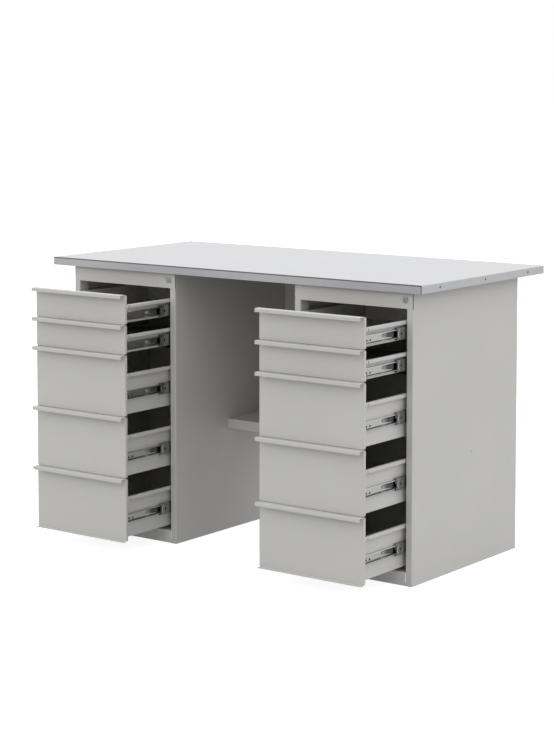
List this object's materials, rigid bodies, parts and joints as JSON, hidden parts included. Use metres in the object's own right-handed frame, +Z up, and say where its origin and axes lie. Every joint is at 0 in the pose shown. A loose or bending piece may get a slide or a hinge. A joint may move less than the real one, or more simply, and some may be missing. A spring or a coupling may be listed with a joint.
{
  "type": "pedestal workbench",
  "caption": "Pedestal workbench with a zinc-clad top, stacks of folded-steel drawers on telescopic slides, a knee-space shelf and back panel, and a lock for each drawer stack.",
  "frame": {"origin": "on the floor, under the middle of the bench's bounding box with the drawers part open", "axes": "+X to the right along the bench, -Y to the front where the drawers open, +Z up"},
  "size_m": [1.4, 0.913, 0.87],
  "materials": {
    "painted_steel": "warm light grey powder coat, fine texture, half matt",
    "zinc_top": "galvanised sheet, pale, faint spangle",
    "board_core": "pressed wood board, hidden under the sheet",
    "slide_steel": "bright zinc plate",
    "lock_metal": "dull nickel-plated die casting"
  },
  "bodies": {
    "frame": {"worktop_board": "board_core", "worktop_skin": "zinc_top", "knee_shelf": "painted_steel", "knee_back_panel": "painted_steel", "left_side_panel_l": "painted_steel", "left_side_panel_r": "painted_steel", "left_floor_pan": "painted_steel", "left_top_cover": "painted_steel", "left_back_panel": "painted_steel", "left_lock_housing": "lock_metal", "right_side_panel_l": "painted_steel", "right_side_panel_r": "painted_steel", "right_floor_pan": "painted_steel", "right_top_cover": "painted_steel", "right_back_panel": "painted_steel", "right_lock_housing": "lock_metal"},
    "left_lock_plug": {"left_lock_plug": "lock_metal"},
    "left_lock_bar": {"left_lock_bar": "slide_steel"},
    "left_drawer_1": {"left_drawer_1_front": "painted_steel", "left_drawer_1_tray": "painted_steel"},
    "left_drawer_1_slides": {"left_drawer_1_slide_l": "slide_steel", "left_drawer_1_slide_r": "slide_steel"},
    "left_drawer_2": {"left_drawer_2_front": "painted_steel", "left_drawer_2_tray": "painted_steel"},
    "left_drawer_2_slides": {"left_drawer_2_slide_l": "slide_steel", "left_drawer_2_slide_r": "slide_steel"},
    "left_drawer_3": {"left_drawer_3_front": "painted_steel", "left_drawer_3_tray": "painted_steel"},
    "left_drawer_3_slides": {"left_drawer_3_slide_l": "slide_steel", "left_drawer_3_slide_r": "slide_steel"},
    "left_drawer_4": {"left_drawer_4_front": "painted_steel", "left_drawer_4_tray": "painted_steel"},
    "left_drawer_4_slides": {"left_drawer_4_slide_l": "slide_steel", "left_drawer_4_slide_r": "slide_steel"},
    "left_drawer_5": {"left_drawer_5_front": "painted_steel", "left_drawer_5_tray": "painted_steel"},
    "left_drawer_5_slides": {"left_drawer_5_slide_l": "slide_steel", "left_drawer_5_slide_r": "slide_steel"},
    "right_lock_plug": {"right_lock_plug": "lock_metal"},
    "right_lock_bar": {"right_lock_bar": "slide_steel"},
    "right_drawer_1": {"right_drawer_1_front": "painted_steel", "right_drawer_1_tray": "painted_steel"},
    "right_drawer_1_slides": {"right_drawer_1_slide_l": "slide_steel", "right_drawer_1_slide_r": "slide_steel"},
    "right_drawer_2": {"right_drawer_2_front": "painted_steel", "right_drawer_2_tray": "painted_steel"},
    "right_drawer_2_slides": {"right_drawer_2_slide_l": "slide_steel", "right_drawer_2_slide_r": "slide_steel"},
    "right_drawer_3": {"right_drawer_3_front": "painted_steel", "right_drawer_3_tray": "painted_steel"},
    "right_drawer_3_slides": {"right_drawer_3_slide_l": "slide_steel", "right_drawer_3_slide_r": "slide_steel"},
    "right_drawer_4": {"right_drawer_4_front": "painted_steel", "right_drawer_4_tray": "painted_steel"},
    "right_drawer_4_slides": {"right_drawer_4_slide_l": "slide_steel", "right_drawer_4_slide_r": "slide_steel"},
    "right_drawer_5": {"right_drawer_5_front": "painted_steel", "right_drawer_5_tray": "painted_steel"},
    "right_drawer_5_slides": {"right_drawer_5_slide_l": "slide_steel", "right_drawer_5_slide_r": "slide_steel"}
  },
  "joints": [
    {"name": "left_lock_turn", "type": "hinge", "parent": "frame", "child": "left_lock_plug", "pos_m": [-0.233, -0.2285, 0.8243], "axis": [0, 1, 0], "range_deg": [0, 90]},
    {"name": "left_lock_lift", "type": "slide", "parent": "frame", "child": "left_lock_bar", "axis": [0, 0, 1], "range_m": [0, 0.007]},
    {"name": "left_drawer_1_pull", "type": "slide", "parent": "frame", "child": "left_drawer_1", "axis": [0, -1, 0], "range_m": [-0.207, 0.293]},
    {"name": "left_drawer_1_slides_run", "type": "slide", "parent": "frame", "child": "left_drawer_1_slides", "axis": [0, -1, 0], "range_m": [-0.1035, 0.1465]},
    {"name": "left_drawer_2_pull", "type": "slide", "parent": "frame", "child": "left_drawer_2", "axis": [0, -1, 0], "range_m": [-0.207, 0.293]},
    {"name": "left_drawer_2_slides_run", "type": "slide", "parent": "frame", "child": "left_drawer_2_slides", "axis": [0, -1, 0], "range_m": [-0.1035, 0.1465]},
    {"name": "left_drawer_3_pull", "type": "slide", "parent": "frame", "child": "left_drawer_3", "axis": [0, -1, 0], "range_m": [-0.207, 0.293]},
    {"name": "left_drawer_3_slides_run", "type": "slide", "parent": "frame", "child": "left_drawer_3_slides", "axis": [0, -1, 0], "range_m": [-0.1035, 0.1465]},
    {"name": "left_drawer_4_pull", "type": "slide", "parent": "frame", "child": "left_drawer_4", "axis": [0, -1, 0], "range_m": [-0.207, 0.293]},
    {"name": "left_drawer_4_slides_run", "type": "slide", "parent": "frame", "child": "left_drawer_4_slides", "axis": [0, -1, 0], "range_m": [-0.1035, 0.1465]},
    {"name": "left_drawer_5_pull", "type": "slide", "parent": "frame", "child": "left_drawer_5", "axis": [0, -1, 0], "range_m": [-0.207, 0.293]},
    {"name": "left_drawer_5_slides_run", "type": "slide", "parent": "frame", "child": "left_drawer_5_slides", "axis": [0, -1, 0], "range_m": [-0.1035, 0.1465]},
    {"name": "right_lock_turn", "type": "hinge", "parent": "frame", "child": "right_lock_plug", "pos_m": [0.637, -0.2285, 0.8243], "axis": [0, 1, 0], "range_deg": [0, 90]},
    {"name": "right_lock_lift", "type": "slide", "parent": "frame", "child": "right_lock_bar", "axis": [0, 0, 1], "range_m": [0, 0.007]},
    {"name": "right_drawer_1_pull", "type": "slide", "parent": "frame", "child": "right_drawer_1", "axis": [0, -1, 0], "range_m": [-0.207, 0.293]},
    {"name": "right_drawer_1_slides_run", "type": "slide", "parent": "frame", "child": "right_drawer_1_slides", "axis": [0, -1, 0], "range_m": [-0.1035, 0.1465]},
    {"name": "right_drawer_2_pull", "type": "slide", "parent": "frame", "child": "right_drawer_2", "axis": [0, -1, 0], "range_m": [-0.207, 0.293]},
    {"name": "right_drawer_2_slides_run", "type": "slide", "parent": "frame", "child": "right_drawer_2_slides", "axis": [0, -1, 0], "range_m": [-0.1035, 0.1465]},
    {"name": "right_drawer_3_pull", "type": "slide", "parent": "frame", "child": "right_drawer_3", "axis": [0, -1, 0], "range_m": [-0.207, 0.293]},
    {"name": "right_drawer_3_slides_run", "type": "slide", "parent": "frame", "child": "right_drawer_3_slides", "axis": [0, -1, 0], "range_m": [-0.1035, 0.1465]},
    {"name": "right_drawer_4_pull", "type": "slide", "parent": "frame", "child": "right_drawer_4", "axis": [0, -1, 0], "range_m": [-0.207, 0.293]},
    {"name": "right_drawer_4_slides_run", "type": "slide", "parent": "frame", "child": "right_drawer_4_slides", "axis": [0, -1, 0], "range_m": [-0.1035, 0.1465]},
    {"name": "right_drawer_5_pull", "type": "slide", "parent": "frame", "child": "right_drawer_5", "axis": [0, -1, 0], "range_m": [-0.207, 0.293]},
    {"name": "right_drawer_5_slides_run", "type": "slide", "parent": "frame", "child": "right_drawer_5_slides", "axis": [0, -1, 0], "range_m": [-0.1035, 0.1465]}
  ],
  "couplings": [
    {"joint": "left_lock_turn", "follows": "left_lock_lift", "rad_per_m": 224.39},
    {"joint": "left_drawer_1_slides_run", "follows": "left_drawer_1_pull", "ratio": 0.5},
    {"joint": "left_drawer_2_slides_run", "follows": "left_drawer_2_pull", "ratio": 0.5},
    {"joint": "left_drawer_3_slides_run", "follows": "left_drawer_3_pull", "ratio": 0.5},
    {"joint": "left_drawer_4_slides_run", "follows": "left_drawer_4_pull", "ratio": 0.5},
    {"joint": "left_drawer_5_slides_run", "follows": "left_drawer_5_pull", "ratio": 0.5},
    {"joint": "right_lock_turn", "follows": "right_lock_lift", "rad_per_m": 224.39},
    {"joint": "right_drawer_1_slides_run", "follows": "right_drawer_1_pull", "ratio": 0.5},
    {"joint": "right_drawer_2_slides_run", "follows": "right_drawer_2_pull", "ratio": 0.5},
    {"joint": "right_drawer_3_slides_run", "follows": "right_drawer_3_pull", "ratio": 0.5},
    {"joint": "right_drawer_4_slides_run", "follows": "right_drawer_4_pull", "ratio": 0.5},
    {"joint": "right_drawer_5_slides_run", "follows": "right_drawer_5_pull", "ratio": 0.5}
  ]
}
